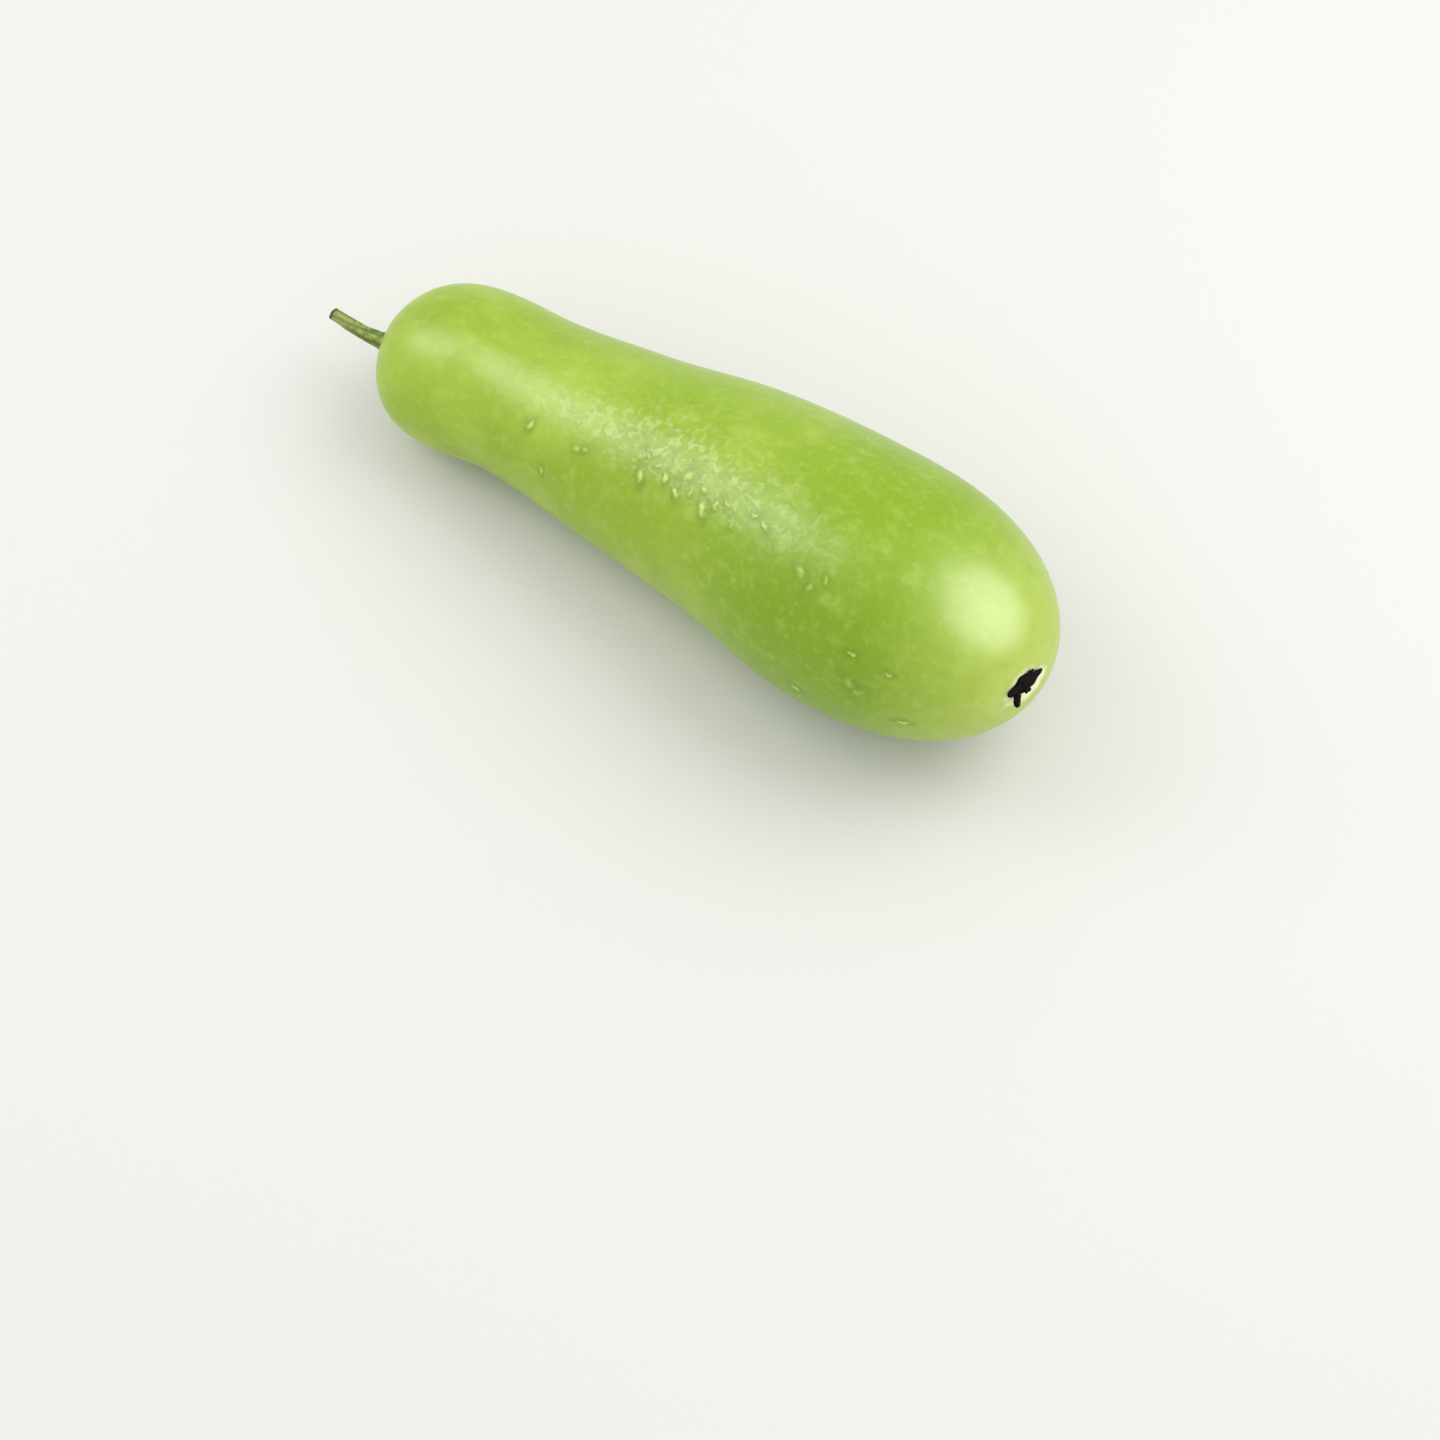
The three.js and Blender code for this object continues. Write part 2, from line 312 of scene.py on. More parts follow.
def ring_distance(point):
    """How far a point is from the middle of the corky ring, as a share of the ring's size there."""
    away = point - ring_middle
    uneven = 1 + 0.16 * noise.noise(point / RING_LUMPS)
    return uneven * math.hypot(
        away.dot(level) / RING_LONG, away.dot(upwards) / RING_SHORT, away.dot(flower_face[0]) / RING_LONG
    )


outline = []
for i in range(RINGS + 1):
    along = FRUIT_LENGTH * (1 - math.cos(math.pi * i / RINGS)) / 2
    outline.append((along, girth(along)))
rind = lathe(outline, SIDES)

# Finer facets where the scars and the corky ring need them
for share in (1.1, 0.75):
    fine = []
    for edge in rind.edges:
        middle = (edge.verts[0].co + edge.verts[1].co) / 2
        place, n, distance = mark_places.find(middle)
        if distance < marks[n][2] * share and edge.calc_length() > LONGEST_EDGE:
            fine.append(edge)
    bmesh.ops.subdivide_edges(rind, edges=fine, cuts=1, use_grid_fill=True)

# How pale, dark-bordered (partly painted shade), corky or rubbed (with painted glints) each place is. The
# material reads these.
SCAR_PALENESS = 0.72
COLLAR_PALENESS = 0.4  # round the stalk
COLLAR_INNER = 4 * MM
COLLAR_OUTER = 9 * MM
HALO_PALENESS = 0.4  # round the corky ring, out to this many times its size
HALO_SPREAD = 2.8
pale_layer = rind.verts.layers.float.new("pale")
border_shade_layer = rind.verts.layers.float.new("border_shade")
cork_layer = rind.verts.layers.float.new("cork")
rubbed_glint_layer = rind.verts.layers.float.new("rubbed_glint")

for vert in rind.verts:
    along = min(max(vert.co.x, 0), FRUIT_LENGTH)
    angle = math.atan2(vert.co.z, vert.co.y)
    scar, border_shade = scars_at(place_on_lathe(along, angle), along, angle)
    ripple = sum(height * noise.noise(vert.co / size) for height, size in RIPPLES)
    point = skin_point(along, angle, scar + ripple - RIND_SUNK)
    point = press(press(point, flower_face), stalk_seat)
    from_flower = ring_distance(point)
    ring = smooth(0.5, 0.9, from_flower) * (1 - smooth(0.95, 1.3, from_flower))
    point += flower_face[0] * ring * RING_HEIGHT
    from_stalk = (point - stalk_seat[1]).length
    collar = 1 - smooth(COLLAR_INNER, COLLAR_OUTER, from_stalk)
    halo = 1 - smooth(1, HALO_SPREAD, from_flower)
    pale = SCAR_PALENESS * smooth(0.04 * MM, 0.34 * MM, scar)
    vert[pale_layer] = pale + COLLAR_PALENESS * collar + HALO_PALENESS * halo
    vert[border_shade_layer] = min(1, border_shade / (0.12 * MM))
    vert[cork_layer] = 1 - smooth(0.85, 1.2, from_flower)
    lengthwise = (along - RUBBED_ALONG) / RUBBED_LENGTH
    vert[rubbed_glint_layer] = math.exp(-lengthwise**2 - ((angle - RUBBED_ANGLE) / RUBBED_WIDTH) ** 2)
    vert.co = press(point, ground)

box_low, box_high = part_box("fruit")
own_low = Vector(min(vert.co[axis] for vert in rind.verts) for axis in range(3))
own_high = Vector(max(vert.co[axis] for vert in rind.verts) for axis in range(3))
placed = (box_low + box_high - own_low - own_high) / 2
placed.z = -ground[1].z


def finish_piece(name, shape, material, node):
    """Turns a shape into a smooth object with its finish, in the place of its node."""
    mesh = bpy.data.meshes.new(name)
    bmesh.ops.translate(shape, vec=placed, verts=shape.verts)
    shape.to_mesh(mesh)
    shape.free()
    mesh.shade_smooth()
    mesh.materials.append(material)
    piece = bpy.data.objects.new(name, mesh)
    bpy.context.scene.collection.objects.link(piece)
    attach(piece, "root")
    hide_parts(node)


def linear(colour):
    """An sRGB hex colour as the linear values that shaders take."""
    parts = [int(colour[n:n + 2], 16) / 255 for n in (1, 3, 5)]
    return [part / 12.92 if part <= 0.04045 else ((part + 0.055) / 1.055) ** 2.4 for part in parts] + [1]


def add_node(material, kind, inputs, **settings):
    """Adds a node. An input given as another node's output is linked, and any other is set."""
    made = material.node_tree.nodes.new(kind)
    for name, value in settings.items():
        setattr(made, name, value)
    for name, value in inputs.items():
        if isinstance(value, bpy.types.NodeSocket):
            material.node_tree.links.new(value, made.inputs[name])
        else:
            made.inputs[name].default_value = value
    return made


# Inputs of a Mix node that blends colours, and its result
FACTOR, FIRST, SECOND, RESULT = 0, 6, 7, 2

# Young gourd rind: a thin waxy skin over pale flesh. Light goes a little way in, so its shadows stay soft,
# its bloom gives a broad dull shine, and its green is cloudy, deeper on the belly and paler at the blossom
# end. On the belly's flank towards the viewer it is deeper still, partly its own green and partly painted
# shade. Scars and freckles are paler still, with dark borders that are partly painted shade, and short pale
# strokes on the rubbed upper flank are painted glints of the shine.
# Real specks and pores are under half a millimetre. They are drawn at 3.5 mm, so that they show.
rind_skin = bpy.data.materials.new("young_gourd_rind_waxy")
rind_skin.use_nodes = True
rind_skin.node_tree.nodes.clear()
at = add_node(rind_skin, "ShaderNodeTexCoord", {}).outputs["Object"]
apart = add_node(rind_skin, "ShaderNodeSeparateXYZ", {0: at})
clouds = add_node(rind_skin, "ShaderNodeTexNoise", {"Vector": at, "Scale": 1 / (55 * MM), "Detail": 3})
blotches = add_node(rind_skin, "ShaderNodeTexNoise", {
    "Vector": at, "Scale": 1 / (11 * MM), "Detail": 4, "Roughness": 0.6,
})
drawn_out = add_node(rind_skin, "ShaderNodeMapping", {"Vector": at, "Scale": (0.12, 1, 1)})
streaks = add_node(rind_skin, "ShaderNodeTexNoise", {
    "Vector": drawn_out.outputs[0], "Scale": 1 / (5 * MM), "Detail": 2,
})
specks = add_node(rind_skin, "ShaderNodeTexNoise", {"Vector": at, "Scale": 1 / (3.5 * MM), "Detail": 2})
crinkles = add_node(rind_skin, "ShaderNodeTexNoise", {
    "Vector": at, "Scale": 1 / (3.4 * MM), "Detail": 0.5, "Distortion": 0.9,
})
strokes = add_node(rind_skin, "ShaderNodeMapRange", {
    "Value": crinkles.outputs["Fac"], "From Min": 0.44, "From Max": 0.7,
}, interpolation_type="SMOOTHSTEP")
rubbed_glint_place = add_node(rind_skin, "ShaderNodeAttribute", {}, attribute_name="rubbed_glint").outputs["Fac"]
crinkles_and_glints = add_node(rind_skin, "ShaderNodeMath", {
    0: strokes.outputs[0], 1: rubbed_glint_place,
}, operation="MULTIPLY")
border_shade_place = add_node(rind_skin, "ShaderNodeAttribute", {}, attribute_name="border_shade").outputs["Fac"]
cork_place = add_node(rind_skin, "ShaderNodeAttribute", {}, attribute_name="cork").outputs["Fac"]
pale_place = add_node(rind_skin, "ShaderNodeAttribute", {}, attribute_name="pale").outputs["Fac"]

cloud_share = add_node(rind_skin, "ShaderNodeMapRange", {
    "Value": clouds.outputs["Fac"], "From Min": 0.38, "From Max": 0.64, "To Max": 0.85,
}, interpolation_type="SMOOTHSTEP")
green = add_node(rind_skin, "ShaderNodeMix", {
    FACTOR: cloud_share.outputs[0], FIRST: linear("#8AA91F"), SECOND: linear("#A0B93A"),
}, data_type="RGBA")
belly_share = add_node(rind_skin, "ShaderNodeMapRange", {
    "Value": apart.outputs["X"], "From Min": 0.02, "From Max": 0.085, "To Max": 0.85,
}, interpolation_type="SMOOTHSTEP")
on_belly = add_node(rind_skin, "ShaderNodeMix", {
    FACTOR: belly_share.outputs[0], FIRST: green.outputs[RESULT], SECOND: linear("#80A20A"),
}, data_type="RGBA")
# The belly's flank towards the viewer is deeper, darker green: partly its own tone, partly painted shade
flank_and_shade = add_node(rind_skin, "ShaderNodeMapRange", {
    "Value": apart.outputs["Y"], "From Min": -0.01, "From Max": -0.045, "To Max": 0.5,
}, interpolation_type="SMOOTHSTEP")
flank_and_shade_share = add_node(rind_skin, "ShaderNodeMath", {
    0: flank_and_shade.outputs[0], 1: belly_share.outputs[0],
}, operation="MULTIPLY")
on_flank_and_shade = add_node(rind_skin, "ShaderNodeMix", {
    FACTOR: flank_and_shade_share.outputs[0], FIRST: on_belly.outputs[RESULT], SECOND: linear("#6A9100"),
}, data_type="RGBA")
end_share = add_node(rind_skin, "ShaderNodeMapRange", {
    "Value": apart.outputs["X"], "From Min": 0.11, "From Max": 0.172, "To Max": 0.9,
}, interpolation_type="SMOOTHSTEP")
towards_end = add_node(rind_skin, "ShaderNodeMix", {
    FACTOR: end_share.outputs[0], FIRST: on_flank_and_shade.outputs[RESULT], SECOND: linear("#ADC44E"),
}, data_type="RGBA")
blotch_share = add_node(rind_skin, "ShaderNodeMapRange", {
    "Value": blotches.outputs["Fac"], "From Min": 0.5, "From Max": 0.75, "To Max": 0.3,
}, interpolation_type="SMOOTHSTEP")
blotched = add_node(rind_skin, "ShaderNodeMix", {
    FACTOR: blotch_share.outputs[0], FIRST: towards_end.outputs[RESULT], SECOND: linear("#B4C860"),
}, data_type="RGBA")
streak_share = add_node(rind_skin, "ShaderNodeMapRange", {
    "Value": streaks.outputs["Fac"], "From Min": 0.5, "From Max": 0.8, "To Max": 0.22,
})
streaked = add_node(rind_skin, "ShaderNodeMix", {
    FACTOR: streak_share.outputs[0], FIRST: blotched.outputs[RESULT], SECOND: linear("#7B9C1A"),
}, data_type="RGBA")
speck_share = add_node(rind_skin, "ShaderNodeMapRange", {
    "Value": specks.outputs["Fac"], "From Min": 0.5, "From Max": 0.75, "To Max": 0.16,
}, interpolation_type="SMOOTHSTEP")
speckled = add_node(rind_skin, "ShaderNodeMix", {
    FACTOR: speck_share.outputs[0], FIRST: streaked.outputs[RESULT], SECOND: linear("#BFD274"),
}, data_type="RGBA")
# Painted glints: pale strokes on the crinkles of the rubbed flank, standing in for its shine
glint_share = add_node(rind_skin, "ShaderNodeMapRange", {"Value": crinkles_and_glints.outputs[0], "To Max": 0.42})
painted_glints = add_node(rind_skin, "ShaderNodeMix", {
    FACTOR: glint_share.outputs[0], FIRST: speckled.outputs[RESULT], SECOND: linear("#CEDD9C"),
}, data_type="RGBA")
# Dark border round each scar: partly its own deeper green, partly painted shade round the raised scar
border_shade_share = add_node(rind_skin, "ShaderNodeMapRange", {"Value": border_shade_place, "To Max": 0.45})
border_shaded = add_node(rind_skin, "ShaderNodeMix", {
    FACTOR: border_shade_share.outputs[0], FIRST: painted_glints.outputs[RESULT], SECOND: linear("#66841A"),
}, data_type="RGBA")
scarred = add_node(rind_skin, "ShaderNodeMix", {
    FACTOR: pale_place, FIRST: border_shaded.outputs[RESULT], SECOND: linear("#CBDC74"),
}, data_type="RGBA")
rind_colour = add_node(rind_skin, "ShaderNodeMix", {
    FACTOR: cork_place, FIRST: scarred.outputs[RESULT], SECOND: linear("#F0F1C6"),
}, data_type="RGBA")
bloom = add_node(rind_skin, "ShaderNodeMapRange", {
    "Value": blotches.outputs["Fac"], "From Min": 0.3, "From Max": 0.7, "To Min": 0.34, "To Max": 0.42,
})
pores = add_node(rind_skin, "ShaderNodeBump", {
    "Height": specks.outputs["Fac"], "Strength": 0.3, "Distance": 0.15 * MM,
})
rubs = add_node(rind_skin, "ShaderNodeBump", {
    "Height": crinkles_and_glints.outputs[0], "Strength": 1, "Distance": 0.2 * MM, "Normal": pores.outputs[0],
})
rind_surface = add_node(rind_skin, "ShaderNodeBsdfPrincipled", {
    "Base Color": rind_colour.outputs[RESULT],
    "Roughness": bloom.outputs[0],
    "Normal": rubs.outputs[0],
    "IOR": 1.45,
    "Specular IOR Level": 0.3,
    "Subsurface Weight": 0.12,
    "Subsurface Radius": (2.4, 3.2, 0.9),
    "Subsurface Scale": 1 * MM,
    "Sheen Weight": 0.05,
    "Sheen Roughness": 0.5,
    "Sheen Tint": linear("#E8F2C0"),
    "Coat Weight": 0.2,
    "Coat Roughness": 0.3,
})
add_node(rind_skin, "ShaderNodeOutputMaterial", {"Surface": rind_surface.outputs[0]})

finish_piece("gourd_fruit", rind, rind_skin, "fruit")

# The stalk: the stub that was left on when the gourd was cut from the vine. It is a tough green stem with
# rounded ridges and fine fibres, a spread foot that grows out of the rind, and a dried, sunken cut end.

STALK_LENGTH = 29.5 * MM
STALK_BEND = Vector((-0.4, -0.9, -1.1)) * MM
STALK_TIP = Vector((-29.5, -1.2, 0.2)) * MM
STALK_RIDGES = 5
STALK_RIDGE_HEIGHT = 0.07
STALK_TWIST = 6  # radians, from foot to tip
FIBRES_ROUND = 6
FIBRE_LENGTH = 9 * MM
KNOB_SIZE = 3 * MM
PITH_INNER = 0.9 * MM
PITH_OUTER = 1.8 * MM
FOOT_SUNK = 0.6 * MM  # how far the foot goes into the rind
STALK_SIDES = 120

# Height above the rind and radius, in mm, up the stalk and then into its sunken end
STALK_OUTLINE = [
    (0, 5.3),
    (0.9, 4.9),
    (2.4, 4.0),
    (5, 3.5),
    (12, 3.15),
    (21, 2.85),
    (27.5, 2.7),
    (28.6, 2.72),
    (29.2, 2.6),
    (29.4, 2.3),
    (29.2, 1.9),
    (28.7, 1.2),
    (28.5, 0.0),
]


def along_path(first, second, third, t):
    """A point of a quadratic curve with these three handles, and the direction there."""
    point = first * (1 - t) ** 2 + second * 2 * t * (1 - t) + third * t**2
    ahead = (second - first) * 2 * (1 - t) + (third - second) * 2 * t
    return point, ahead.normalized()


def across_path(ahead):
    """The two directions square to a path."""
    side = Vector((0, 0, 1)).cross(ahead).normalized()
    return side, ahead.cross(side)


def round_off(outline, times):
    """Puts new points between those of an outline and softens its corners."""
    for n in range(times):
        finer = [outline[0]]
        for a, b in zip(outline, outline[1:]):
            finer.append(tuple(0.75 * p + 0.25 * q for p, q in zip(a, b)))
            finer.append(tuple(0.25 * p + 0.75 * q for p, q in zip(a, b)))
        finer.append(outline[-1])
        outline = finer
    return outline


foot = stalk_seat[1].copy()
middle_handle = foot + STALK_TIP / 2 + STALK_BEND
outline = [(-FOOT_SUNK, 0), (-FOOT_SUNK, 5.4 * MM)]
outline += [(height * MM, radius * MM) for height, radius in round_off(STALK_OUTLINE, 3)]
stalk = lathe(outline, STALK_SIDES)
long_edges = [edge for edge in stalk.edges if abs(edge.verts[0].co.x - edge.verts[1].co.x) > 0.5 * MM]
bmesh.ops.subdivide_edges(stalk, edges=long_edges, cuts=3, use_grid_fill=True)

cut = stalk.verts.layers.float.new("cut")
pith = stalk.verts.layers.float.new("pith")
spread = stalk.verts.layers.float.new("spread")
groove_shade = stalk.verts.layers.float.new("groove_shade")
for vert in stalk.verts:
    height = vert.co.x
    radius = math.hypot(vert.co.y, vert.co.z)
    angle = math.atan2(vert.co.z, vert.co.y)
    t = min(max(height / STALK_LENGTH, 0), 1)
    point, ahead = along_path(foot, middle_handle, foot + STALK_TIP, t)
    side, up = across_path(ahead)
    ridge = math.cos(STALK_RIDGES * angle + STALK_TWIST * t)
    around = Vector((math.cos(angle), math.sin(angle), 0)) * FIBRES_ROUND
    fibre = noise.noise(around + Vector((0, 0, height / FIBRE_LENGTH)))
    knobs = noise.noise(vert.co / KNOB_SIZE)
    grown = 1 + STALK_RIDGE_HEIGHT * ridge + 0.03 * fibre + 0.025 * knobs - 0.03
    vert[cut] = smooth(0.925, 0.96, t + 0.02 * fibre)
    vert[pith] = (1 - smooth(PITH_INNER, PITH_OUTER, radius)) * smooth(0.9, 0.95, t)
    vert[spread] = 1 - smooth(0.1 * MM, 2.6 * MM, height + 0.8 * MM * fibre)
    # How far the stalk dips between its ridges and fibres, where painted shade darkens it
    vert[groove_shade] = 0.5 - 0.5 * ridge - 0.4 * fibre
    point += side * radius * grown * math.cos(angle) + up * radius * grown * math.sin(angle)
    vert.co = point + ahead * (height - t * STALK_LENGTH)

# Green stalk, cut some days ago: dull and mottled, with pale raised fibres and grooves darkened by painted
# shade. Its foot fades into the rind's green, and its dried end is grey-brown round a paler pith. Real
# fibres are a few tenths of a millimetre thick, and are drawn at 0.9 mm, so that they show.
stalk_skin = bpy.data.materials.new("gourd_stalk_dried_green")
stalk_skin.use_nodes = True
stalk_skin.node_tree.nodes.clear()
at = add_node(stalk_skin, "ShaderNodeTexCoord", {}).outputs["Object"]
apart = add_node(stalk_skin, "ShaderNodeSeparateXYZ", {0: at})
drawn_out = add_node(stalk_skin, "ShaderNodeMapping", {"Vector": at, "Scale": (0.18, 1, 1)})
fibres = add_node(stalk_skin, "ShaderNodeTexNoise", {
    "Vector": drawn_out.outputs[0], "Scale": 1 / (0.9 * MM), "Detail": 3,
})
patches = add_node(stalk_skin, "ShaderNodeTexNoise", {"Vector": at, "Scale": 1 / (2.6 * MM), "Detail": 3})
patch_share = add_node(stalk_skin, "ShaderNodeMapRange", {
    "Value": patches.outputs["Fac"], "From Min": 0.3, "From Max": 0.68,
}, interpolation_type="SMOOTHSTEP")
groove_shade_place = add_node(stalk_skin, "ShaderNodeAttribute", {}, attribute_name="groove_shade").outputs["Fac"]
cut_place = add_node(stalk_skin, "ShaderNodeAttribute", {}, attribute_name="cut").outputs["Fac"]
pith_place = add_node(stalk_skin, "ShaderNodeAttribute", {}, attribute_name="pith").outputs["Fac"]
spread_place = add_node(stalk_skin, "ShaderNodeAttribute", {}, attribute_name="spread").outputs["Fac"]
stalk_green = add_node(stalk_skin, "ShaderNodeMix", {
    FACTOR: patch_share.outputs[0], FIRST: linear("#4F661C"), SECOND: linear("#8EA23F"),
}, data_type="RGBA")
tip_share = add_node(stalk_skin, "ShaderNodeMapRange", {
    "Value": apart.outputs["X"], "From Min": -0.172, "From Max": -0.162, "To Min": 0.7, "To Max": 0,
}, interpolation_type="SMOOTHSTEP")
tipped = add_node(stalk_skin, "ShaderNodeMix", {
    FACTOR: tip_share.outputs[0], FIRST: stalk_green.outputs[RESULT], SECOND: linear("#9C9A55"),
}, data_type="RGBA")
fibre_share = add_node(stalk_skin, "ShaderNodeMapRange", {
    "Value": fibres.outputs["Fac"], "From Min": 0.5, "From Max": 0.75, "To Max": 0.35,
})
fibred = add_node(stalk_skin, "ShaderNodeMix", {
    FACTOR: fibre_share.outputs[0], FIRST: tipped.outputs[RESULT], SECOND: linear("#9FAD58"),
}, data_type="RGBA")
# Painted shade: the stalk's grooves and the hollows between its fibres are darkened
groove_shade_share = add_node(stalk_skin, "ShaderNodeMapRange", {
    "Value": groove_shade_place, "From Min": 0.45, "From Max": 1.1, "To Max": 0.7,
})
groove_shaded = add_node(stalk_skin, "ShaderNodeMix", {
    FACTOR: groove_shade_share.outputs[0], FIRST: fibred.outputs[RESULT], SECOND: linear("#3D4A1C"),
}, data_type="RGBA")
spread_share = add_node(stalk_skin, "ShaderNodeMapRange", {"Value": spread_place, "To Max": 0.75})
grown_together = add_node(stalk_skin, "ShaderNodeMix", {
    FACTOR: spread_share.outputs[0], FIRST: groove_shaded.outputs[RESULT], SECOND: linear("#9BB042"),
}, data_type="RGBA")
dried_end = add_node(stalk_skin, "ShaderNodeMix", {
    FACTOR: cut_place, FIRST: grown_together.outputs[RESULT], SECOND: linear("#3F3E31"),
}, data_type="RGBA")
stalk_colour = add_node(stalk_skin, "ShaderNodeMix", {
    FACTOR: pith_place, FIRST: dried_end.outputs[RESULT], SECOND: linear("#8C8463"),
}, data_type="RGBA")
stalk_bumps = add_node(stalk_skin, "ShaderNodeBump", {
    "Height": fibres.outputs["Fac"], "Strength": 0.5, "Distance": 0.12 * MM,
})
stalk_surface = add_node(stalk_skin, "ShaderNodeBsdfPrincipled", {
    "Base Color": stalk_colour.outputs[RESULT],
    "Roughness": 0.68,
    "Normal": stalk_bumps.outputs[0],
    "IOR": 1.45,
    "Sheen Weight": 0.15,
    "Sheen Roughness": 0.4,
})
add_node(stalk_skin, "ShaderNodeOutputMaterial", {"Surface": stalk_surface.outputs[0]})

finish_piece("gourd_stalk", stalk, stalk_skin, "stem")

# The dried flower: the shrunken cup of the blossom with a few shrivelled petals, all black and brittle.
# It withered where it grew, so it still clings to the corky ring at the fruit's far end.

FLOWER_TURN = math.radians(4)
CUP_LONG = 6.4 * MM
CUP_SHORT = 4.4 * MM
CUP_HEIGHT = 2.9 * MM
CUP_SUNK = 0.5 * MM
CUP_RINGS = 16
CUP_SIDES = 64

# Each petal's path, in mm along the flower's long way, across it and out of the fruit, then half its
# width at the root, its thickness over its width, and its width at the tip over that at the root
PETALS = [
    ([(2, 0.6, 0.9), (5.8, 1, 1.2), (8.8, 1, 1.3)], 2.5, 0.6, 0.3),
    ([(-3, 0.2, 0.9), (-6.6, 0.9, 1.1), (-9.4, 1.2, 1.2)], 2.9, 0.5, 0.5),
    ([(-4.4, -1.2, 1.4), (-6.4, -3.2, 2.6), (-7.8, -5.4, 3.9)], 1.9, 0.75, 0.75),
    ([(0.6, 2.6, 0.9), (2.6, 4.4, 1.1), (5, 4.6, 1.4)], 1.5, 0.6, 0.4),
    ([(-0.4, -2.2, 1.3), (0.4, -3.6, 1.7), (1.4, -4.1, 1.8)], 1.6, 0.6, 0.5),
    ([(-1.8, 0.4, 2), (-1.6, -0.6, 3), (-2.6, -1.8, 3.8)], 1.3, 0.8, 0.6),
]
PETAL_CREASES = 3
PETAL_CREASE_DEPTH = 0.12
PETAL_RINGS = 24
PETAL_SIDES = 32

# The skin that is drawn over cup and petals, its long folds and its small creases
SKIN_FACET = 0.16 * MM
FOLD_SIZE = 0.9 * MM
FOLD_STRETCH = 3.2
FOLD_DEPTH = 0.22 * MM
CREASE_SIZE = 0.45 * MM
CREASE_DEPTH = 0.06 * MM

tilts = [math.pi / 2 * i / CUP_RINGS for i in range(CUP_RINGS + 1)]
withered = lathe([(0, 0)] + [(math.sin(tilt), math.cos(tilt)) for tilt in tilts], CUP_SIDES)
for vert in withered.verts:
    angle = math.atan2(vert.co.z, vert.co.y)
    crumple = 1 + 0.1 * math.cos(3 * angle + 1) + 0.07 * math.cos(7 * angle)
    height = vert.co.x * CUP_HEIGHT if vert.co.x > 0 else -CUP_SUNK
    vert.co = Vector((vert.co.y * CUP_LONG * crumple, vert.co.z * CUP_SHORT * crumple, height))

for path, radius, flat, tip in PETALS:
    first, passed, third = [Vector(point) * MM for point in path]
    handle = passed * 2 - (first + third) / 2
    outline = [(0, 0)]
    for i in range(1, PETAL_RINGS):
        t = i / PETAL_RINGS
        outline.append((t, math.sqrt(1 - (2 * t - 1) ** 4) * (1 - (1 - tip) * t)))
    petal = lathe(outline + [(1, 0)], PETAL_SIDES)
    for vert in petal.verts:
        t = min(max(vert.co.x, 0), 1)
        angle = math.atan2(vert.co.z, vert.co.y)
        width = math.hypot(vert.co.y, vert.co.z) * radius * MM
        width *= 1 + PETAL_CREASE_DEPTH * math.cos(PETAL_CREASES * angle)
        point, ahead = along_path(first, handle, third, t)
        side, up = across_path(ahead)
        vert.co = point + side * width * math.cos(angle) + up * width * flat * math.sin(angle)
    petal_mesh = bpy.data.meshes.new("petal")
    petal.to_mesh(petal_mesh)
    petal.free()
    withered.from_mesh(petal_mesh)
    bpy.data.meshes.remove(petal_mesh)

# Cup and petals shrivelled into one skin, which is then wrinkled
draft = bpy.data.meshes.new("withered")
withered.to_mesh(draft)
withered.free()
holder = bpy.data.objects.new("withered", draft)
bpy.context.scene.collection.objects.link(holder)
skin_over = holder.modifiers.new("skin_over", "REMESH")
skin_over.mode = "VOXEL"
skin_over.voxel_size = SKIN_FACET
soften = holder.modifiers.new("soften", "SMOOTH")
soften.iterations = 3
depsgraph = bpy.context.evaluated_depsgraph_get()
skinned = bpy.data.meshes.new_from_object(holder.evaluated_get(depsgraph))
bpy.data.objects.remove(holder)
flower = bmesh.new()
flower.from_mesh(skinned)
bpy.data.meshes.remove(skinned)
flower.normal_update()

long_way = Quaternion(flower_face[0], FLOWER_TURN) @ level
short_way = Quaternion(flower_face[0], FLOWER_TURN) @ upwards
turned = Matrix((long_way, short_way, flower_face[0])).transposed()
ridge_layer = flower.verts.layers.float.new("ridge")
wrinkles = []
for vert in flower.verts:
    drawn = Vector((vert.co.x / FOLD_STRETCH, vert.co.y, vert.co.z)) / FOLD_SIZE
    fold = 1 - 2 * abs(noise.noise(drawn))
    crease = noise.noise(vert.co / CREASE_SIZE)
    wrinkles.append((fold, crease, vert.normal.copy()))
for vert, (fold, crease, out) in zip(flower.verts, wrinkles):
    vert[ridge_layer] = fold
    vert.co += out * (FOLD_DEPTH * (fold - 0.9) + CREASE_DEPTH * crease)
    vert.co = flower_foot + turned @ vert.co

# Withered petal: black-brown paper, dull, and a little browner along the folds that stand proud
dried_petal = bpy.data.materials.new("withered_petal_black_dull")
dried_petal.use_nodes = True
dried_petal.node_tree.nodes.clear()
at = add_node(dried_petal, "ShaderNodeTexCoord", {}).outputs["Object"]
flakes = add_node(dried_petal, "ShaderNodeTexNoise", {"Vector": at, "Scale": 1 / (1.2 * MM), "Detail": 3})
fold_place = add_node(dried_petal, "ShaderNodeAttribute", {}, attribute_name="ridge").outputs["Fac"]
fold_share = add_node(dried_petal, "ShaderNodeMapRange", {
    "Value": fold_place, "From Min": 0.75, "From Max": 1, "To Max": 0.6,
})
black = add_node(dried_petal, "ShaderNodeMix", {
    FACTOR: flakes.outputs["Fac"], FIRST: linear("#050404"), SECOND: linear("#0E0B08"),
}, data_type="RGBA")
petal_colour = add_node(dried_petal, "ShaderNodeMix", {
    FACTOR: fold_share.outputs[0], FIRST: black.outputs[RESULT], SECOND: linear("#231A10"),
}, data_type="RGBA")
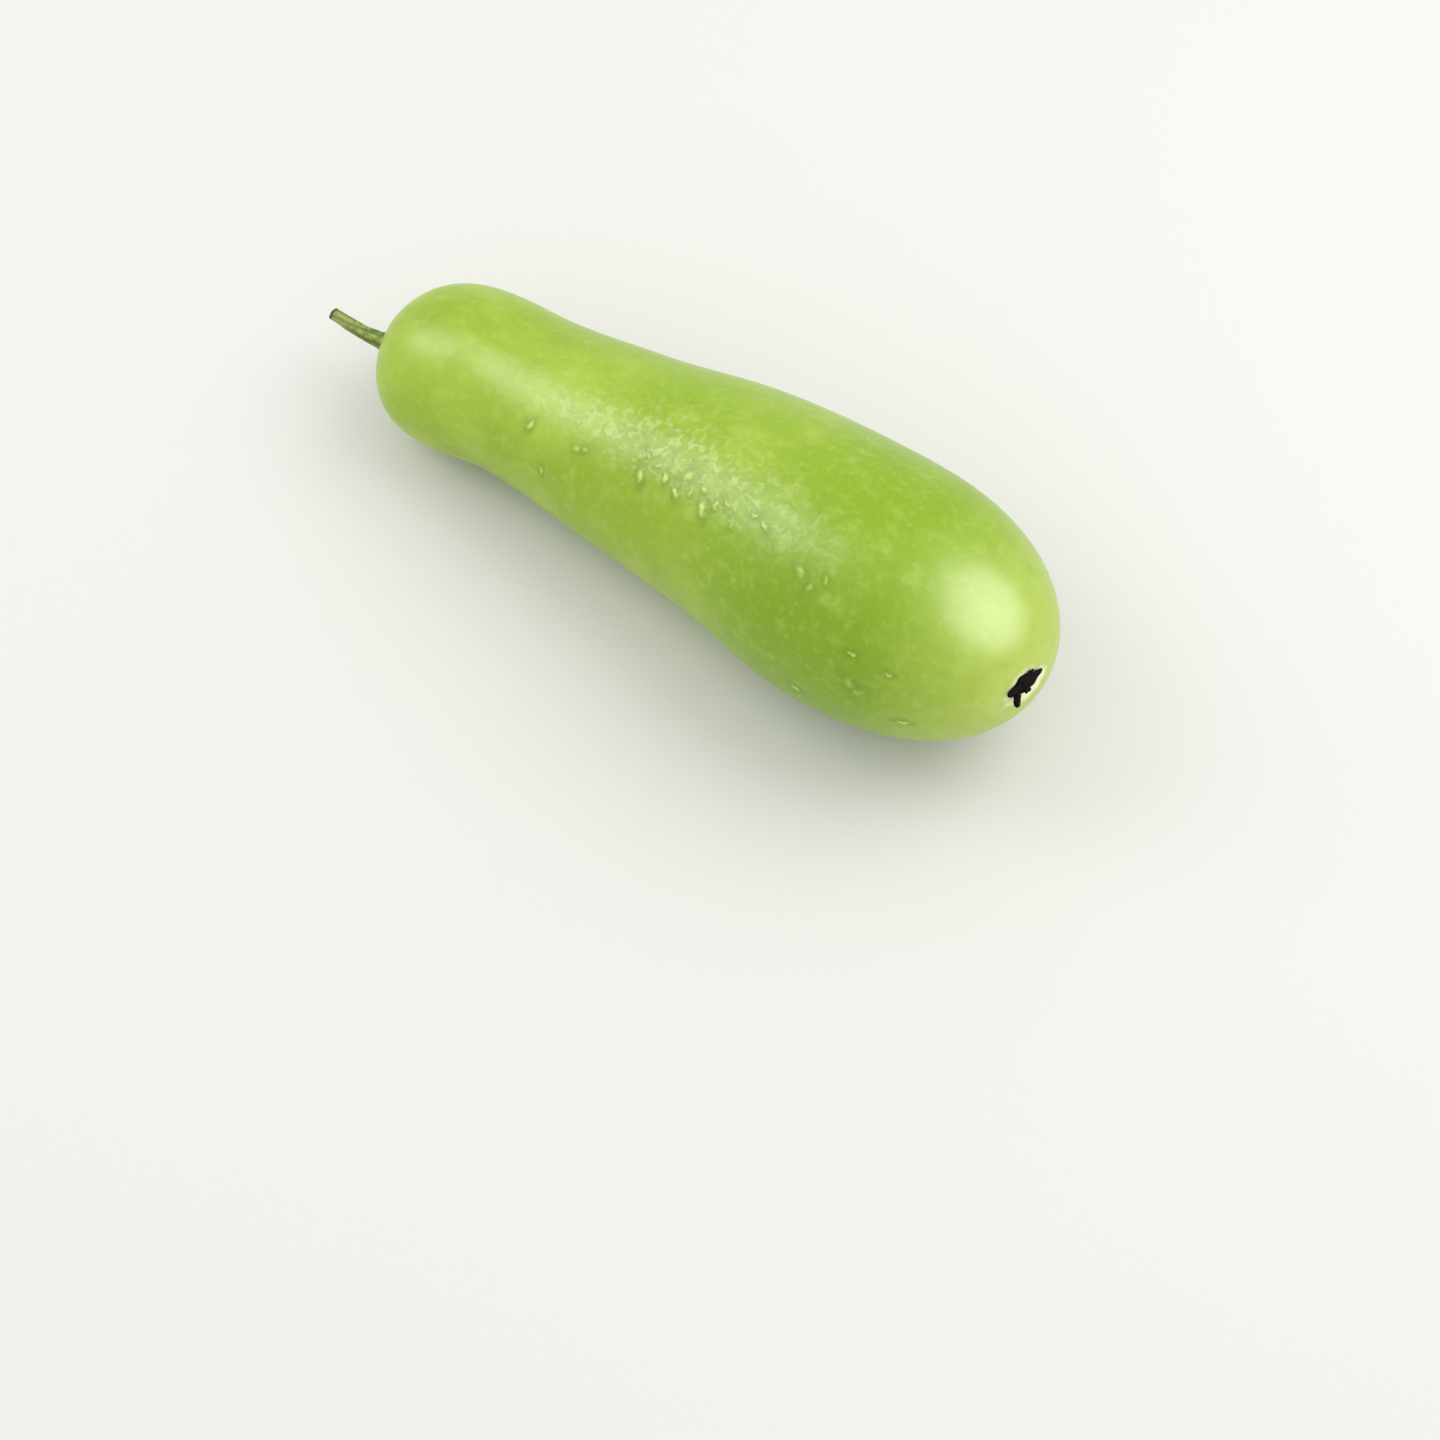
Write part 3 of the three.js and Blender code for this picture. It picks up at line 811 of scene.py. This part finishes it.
petal_bumps = add_node(dried_petal, "ShaderNodeBump", {
    "Height": flakes.outputs["Fac"], "Strength": 0.6, "Distance": 0.1 * MM,
})
petal_surface = add_node(dried_petal, "ShaderNodeBsdfPrincipled", {
    "Base Color": petal_colour.outputs[RESULT],
    "Roughness": 0.85,
    "Normal": petal_bumps.outputs[0],
    "IOR": 1.35,
    "Specular IOR Level": 0.12,
})
add_node(dried_petal, "ShaderNodeOutputMaterial", {"Surface": petal_surface.outputs[0]})

finish_piece("dried_flower", flower, dried_petal, "blossom_remnant")

# The floor: a plain pale board, painted matt. It is wide enough that its edge stays out of the picture
# from low down.
FLOOR_SIZE = 60
board = bmesh.new()
bmesh.ops.create_grid(board, x_segments=1, y_segments=1, size=FLOOR_SIZE / 2)
floor_mesh = bpy.data.meshes.new("floor")
board.to_mesh(floor_mesh)
board.free()

# Matt white paint on board: it has no shine, so only the gourd's soft shadow shows on it
matt_white = bpy.data.materials.new("matt_white_board")
matt_white.use_nodes = True
matt_white.node_tree.nodes.clear()
board_surface = add_node(matt_white, "ShaderNodeBsdfPrincipled", {
    "Base Color": linear("#DADAD8"), "Roughness": 0.9, "Specular IOR Level": 0,
})
add_node(matt_white, "ShaderNodeOutputMaterial", {"Surface": board_surface.outputs[0]})
floor_mesh.materials.append(matt_white)
floor = bpy.data.objects.new("floor", floor_mesh)
bpy.context.scene.collection.objects.link(floor)

# Soft studio light in a pale room. Each of two softboxes is a lamp that lights the gourd and a brighter one
# that only shows in its shine, so the waxy skin gleams while its colour stays deep. Each lamp has a name,
# the direction it stands in, its distance, width and height in metres, its power in watts, and its use.
SOFTBOXES = [
    ("softbox_stalk_side", (-0.66, -0.26, 0.70), 1.5, 0.8, 1.2, 3.9, "light"),
    ("gleam_stalk_side", (-0.66, -0.26, 0.70), 1.5, 0.8, 1.2, 16, "shine"),
    ("softbox_blossom_side", (0.40, 0.40, 0.82), 1.3, 1, 1, 5.6, "light"),
    ("gleam_blossom_side", (0.74, 0.21, 0.64), 1.35, 1.5, 1.5, 55, "shine"),
]
LAMPS_AIM_AT = Vector((0, 0, 0.06))
for name, towards, distance, wide, high, power, use in SOFTBOXES:
    lamp = bpy.data.lights.new(name, "AREA")
    lamp.shape = "ELLIPSE"
    lamp.size = wide
    lamp.size_y = high
    lamp.energy = power
    softbox = bpy.data.objects.new(name, lamp)
    direction = Vector(towards).normalized()
    softbox.location = direction * distance + LAMPS_AIM_AT
    softbox.rotation_euler = direction.to_track_quat("Z", "Y").to_euler()
    softbox.visible_diffuse = use == "light"
    softbox.visible_glossy = use == "shine"
    bpy.context.scene.collection.objects.link(softbox)

room = bpy.data.worlds.new("pale_room")
room.use_nodes = True
room.node_tree.nodes["Background"].inputs["Color"].default_value = linear("#FAFAF6")
room.node_tree.nodes["Background"].inputs["Strength"].default_value = 1.04
bpy.context.scene.world = room
bpy.context.scene.view_settings.view_transform = "Standard"

# The camera looks down on the gourd from the belly's side, as the photograph does. Its distance and its aim
# put the gourd where it stands in the picture.
CAMERA_AZIMUTH = math.radians(35.08)
CAMERA_RISE = math.radians(61)
CAMERA_DISTANCE = 1.20475
CAMERA_ANGLE = math.radians(26)
AIM = Vector((0.07853, -0.08242, 0.05))
back = Vector((
    math.sin(CAMERA_AZIMUTH) * math.cos(CAMERA_RISE),
    -math.cos(CAMERA_AZIMUTH) * math.cos(CAMERA_RISE),
    math.sin(CAMERA_RISE),
))
lens = bpy.data.cameras.new("camera")
lens.sensor_fit = "HORIZONTAL"
lens.angle = CAMERA_ANGLE
camera = bpy.data.objects.new("camera", lens)
camera.location = AIM + back * CAMERA_DISTANCE
camera.rotation_euler = back.to_track_quat("Z", "Y").to_euler()
bpy.context.scene.collection.objects.link(camera)
bpy.context.scene.camera = camera
